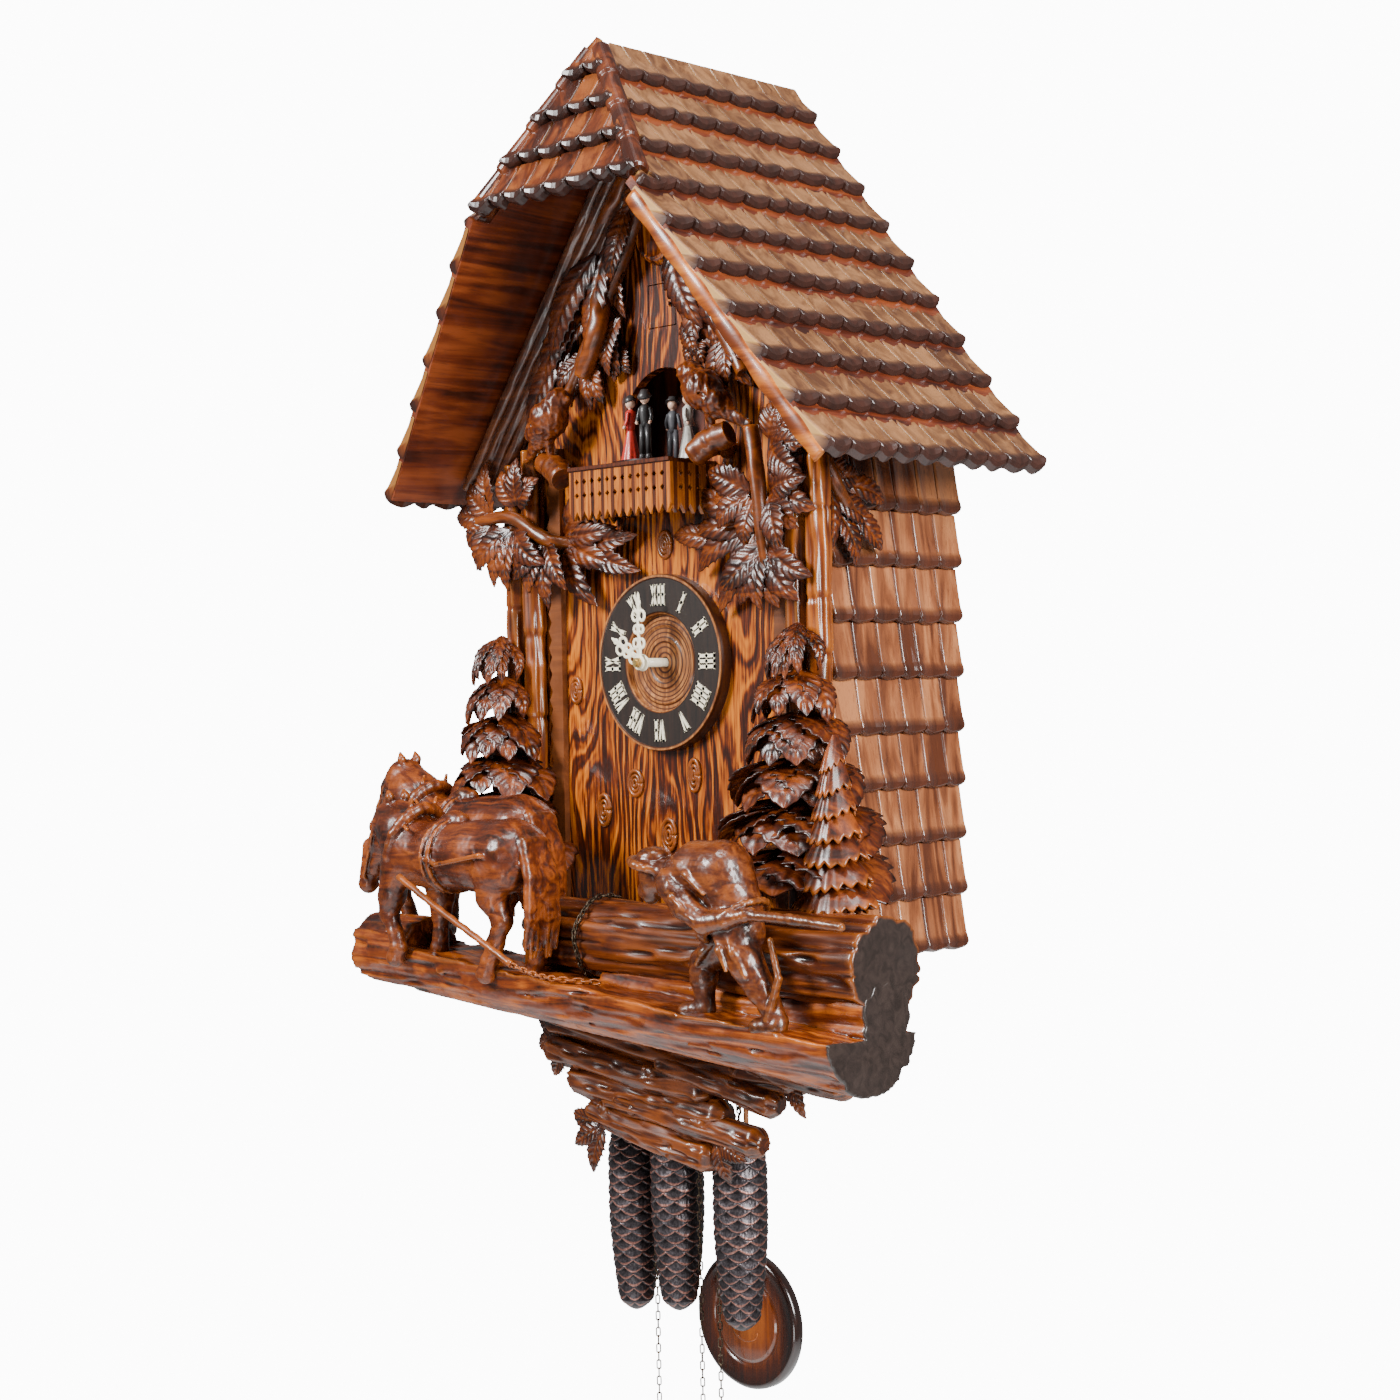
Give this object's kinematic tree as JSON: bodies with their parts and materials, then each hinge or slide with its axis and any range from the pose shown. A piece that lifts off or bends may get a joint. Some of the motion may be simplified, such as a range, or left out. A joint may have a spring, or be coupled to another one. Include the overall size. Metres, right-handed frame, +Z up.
{
  "type": "cuckoo clock",
  "caption": "Chalet-style weight-driven wall cuckoo clock with carved log-hauling scene, turning dancers, cone weights on chains and a disc pendulum.",
  "frame": {"origin": "centre of the wall hook hole on the flat back plane", "axes": "+X to the right seen from the front, the front faces -Y, +Z up along the wall"},
  "size_m": [0.6491, 0.3489, 1.2632],
  "materials": {
    "case_wood": "satin dark mahogany stain",
    "door_wood": "satin",
    "shingle_wood": "satin with glossy dark lips",
    "panel_wood": "gloss over burnt zebra grain",
    "carved_wood": "gloss red-brown stain",
    "log_wood": "gloss orange-brown stain",
    "dial_black": "satin black-brown",
    "ivory": "matt ivory",
    "brass": "brushed",
    "steel": "plain",
    "iron": "dark with rubbed copper edges",
    "chain_metal": "antique brown",
    "bellows_wood": "raw",
    "paint": "painted",
    "pendulum_wood": "gloss sunburst stain"
  },
  "bodies": {
    "case": {"back_frame": "case_wood", "side_wall_left": "case_wood", "side_wall_right": "case_wood", "wall_shingles": "shingle_wood", "front_panel": "panel_wood", "bottom_board": "case_wood", "roof_boards": "case_wood", "roof_shingles_left": "shingle_wood", "roof_shingles_right": "shingle_wood", "hip_shingles": "shingle_wood", "gable_beams": "carved_wood", "trunk_posts": "carved_wood", "corner_ripples": "carved_wood", "balcony_floor": "case_wood", "balcony_rail": "panel_wood", "niche_box": "case_wood", "dial_ring": "dial_black", "dial_numerals": "ivory", "foliage_left": "carved_wood", "foliage_right": "carved_wood", "foliage_top": "carved_wood", "song_birds": "carved_wood", "pine_left": "carved_wood", "pine_right": "carved_wood", "log_base": "log_wood", "hauled_log": "log_wood", "horse_near": "carved_wood", "horse_far": "carved_wood", "harness": "carved_wood", "logger": "carved_wood", "branch_pile": "carved_wood", "movement_plates": "brass", "bellows_bodies": "bellows_wood", "gong": "steel", "music_works": "steel"},
    "minute": {"minute_hand": "ivory", "center_arbor": "brass"},
    "hour": {"hour_hand": "ivory"},
    "pendulum": {"pendulum_rod": "pendulum_wood", "pendulum_bob": "pendulum_wood"},
    "anchor": {"anchor": "steel"},
    "bellows_left": {"bellows_lid_left": "bellows_wood"},
    "bellows_right": {"bellows_lid_right": "bellows_wood"},
    "hammer": {"gong_hammer": "steel"},
    "stage": {"carousel": "case_wood", "dancers": "paint"},
    "music": {"music_cylinder": "brass"},
    "cuckoo": {"cuckoo_bird": "carved_wood"},
    "cuckoo_door": {"cuckoo_door": "panel_wood"},
    "back_door": {"back_door": "door_wood"},
    "weight_left": {"weight_left": "iron"},
    "wheel_left": {"wheel_left": "brass"},
    "tail_left": {"tail_left": "chain_metal"},
    "weight_mid": {"weight_mid": "iron"},
    "wheel_mid": {"wheel_mid": "brass"},
    "tail_mid": {"tail_mid": "chain_metal"},
    "weight_right": {"weight_right": "iron"},
    "wheel_right": {"wheel_right": "brass"},
    "tail_right": {"tail_right": "chain_metal"}
  },
  "joints": [
    {"name": "minute_turn", "type": "hinge", "parent": "case", "child": "minute", "pos_m": [0, -0.2, -0.4], "axis": [0, 1, 0], "continuous": true},
    {"name": "hour_turn", "type": "hinge", "parent": "case", "child": "hour", "pos_m": [0, -0.2, -0.4], "axis": [0, 1, 0], "continuous": true},
    {"name": "weight_left_drop", "type": "slide", "parent": "case", "child": "weight_left", "axis": [0, 0, 1], "range_m": [-0.15, 0.05]},
    {"name": "wheel_left_turn", "type": "hinge", "parent": "case", "child": "wheel_left", "pos_m": [-0.0756, -0.148, -0.47], "axis": [0, 1, 0], "range_deg": [-620, 208]},
    {"name": "tail_left_rise", "type": "slide", "parent": "case", "child": "tail_left", "axis": [0, 0, 1], "range_m": [-0.05, 0.15]},
    {"name": "weight_mid_drop", "type": "slide", "parent": "case", "child": "weight_mid", "axis": [0, 0, 1], "range_m": [-0.15, 0.05]},
    {"name": "wheel_mid_turn", "type": "hinge", "parent": "case", "child": "wheel_mid", "pos_m": [-0.0193, -0.148, -0.47], "axis": [0, 1, 0], "range_deg": [-620, 208]},
    {"name": "tail_mid_rise", "type": "slide", "parent": "case", "child": "tail_mid", "axis": [0, 0, 1], "range_m": [-0.05, 0.15]},
    {"name": "weight_right_drop", "type": "slide", "parent": "case", "child": "weight_right", "axis": [0, 0, 1], "range_m": [-0.15, 0.05]},
    {"name": "wheel_right_turn", "type": "hinge", "parent": "case", "child": "wheel_right", "pos_m": [0.0316, -0.148, -0.47], "axis": [0, 1, 0], "range_deg": [-208, 620]},
    {"name": "tail_right_rise", "type": "slide", "parent": "case", "child": "tail_right", "axis": [0, 0, 1], "range_m": [-0.05, 0.15]},
    {"name": "pendulum_swing", "type": "hinge", "parent": "case", "child": "pendulum", "pos_m": [0, -0.092, -0.33], "axis": [0, 1, 0], "range_deg": [-4.5, 4.5]},
    {"name": "anchor_rock", "type": "hinge", "parent": "case", "child": "anchor", "pos_m": [0, -0.13, -0.33], "axis": [0, 1, 0], "range_deg": [-4.5, 4.5]},
    {"name": "bellows_left_lift", "type": "hinge", "parent": "case", "child": "bellows_left", "pos_m": [-0.131, -0.06, -0.2497], "axis": [-1, 0, 0], "range_deg": [0, 18]},
    {"name": "bellows_right_lift", "type": "hinge", "parent": "case", "child": "bellows_right", "pos_m": [0.129, -0.06, -0.2497], "axis": [-1, 0, 0], "range_deg": [0, 18]},
    {"name": "hammer_swing", "type": "hinge", "parent": "case", "child": "hammer", "pos_m": [0.05, -0.08, -0.47], "axis": [0, 1, 0], "range_deg": [-25, 6]},
    {"name": "stage_turn", "type": "hinge", "parent": "case", "child": "stage", "pos_m": [0, -0.186, -0.23], "axis": [0, 0, 1], "continuous": true},
    {"name": "music_turn", "type": "hinge", "parent": "case", "child": "music", "pos_m": [0, -0.12, -0.242], "axis": [0, 1, 0], "continuous": true},
    {"name": "cuckoo_out", "type": "slide", "parent": "case", "child": "cuckoo", "axis": [0, -1, 0], "range_m": [0, 0.034]},
    {"name": "cuckoo_door_open", "type": "hinge", "parent": "case", "child": "cuckoo_door", "pos_m": [-0.0166, -0.18, -0.085], "axis": [0, 0, -1], "range_deg": [0, 90]},
    {"name": "back_door_open", "type": "hinge", "parent": "case", "child": "back_door", "pos_m": [-0.116, -0.004, -0.37], "axis": [0, 0, 1], "range_deg": [0, 100]}
  ],
  "couplings": [
    {"joint": "hour_turn", "follows": "minute_turn", "ratio": 0.083333},
    {"joint": "wheel_left_turn", "follows": "weight_left_drop", "rad_per_m": 71.942},
    {"joint": "tail_left_rise", "follows": "weight_left_drop", "ratio": -1},
    {"joint": "wheel_mid_turn", "follows": "weight_mid_drop", "rad_per_m": 71.942},
    {"joint": "tail_mid_rise", "follows": "weight_mid_drop", "ratio": -1},
    {"joint": "wheel_right_turn", "follows": "weight_right_drop", "rad_per_m": -71.942},
    {"joint": "tail_right_rise", "follows": "weight_right_drop", "ratio": -1},
    {"joint": "anchor_rock", "follows": "pendulum_swing", "ratio": 1},
    {"joint": "music_turn", "follows": "stage_turn", "ratio": -1.7143},
    {"joint": "cuckoo_door_open", "follows": "cuckoo_out", "rad_per_m": 46.1}
  ]
}
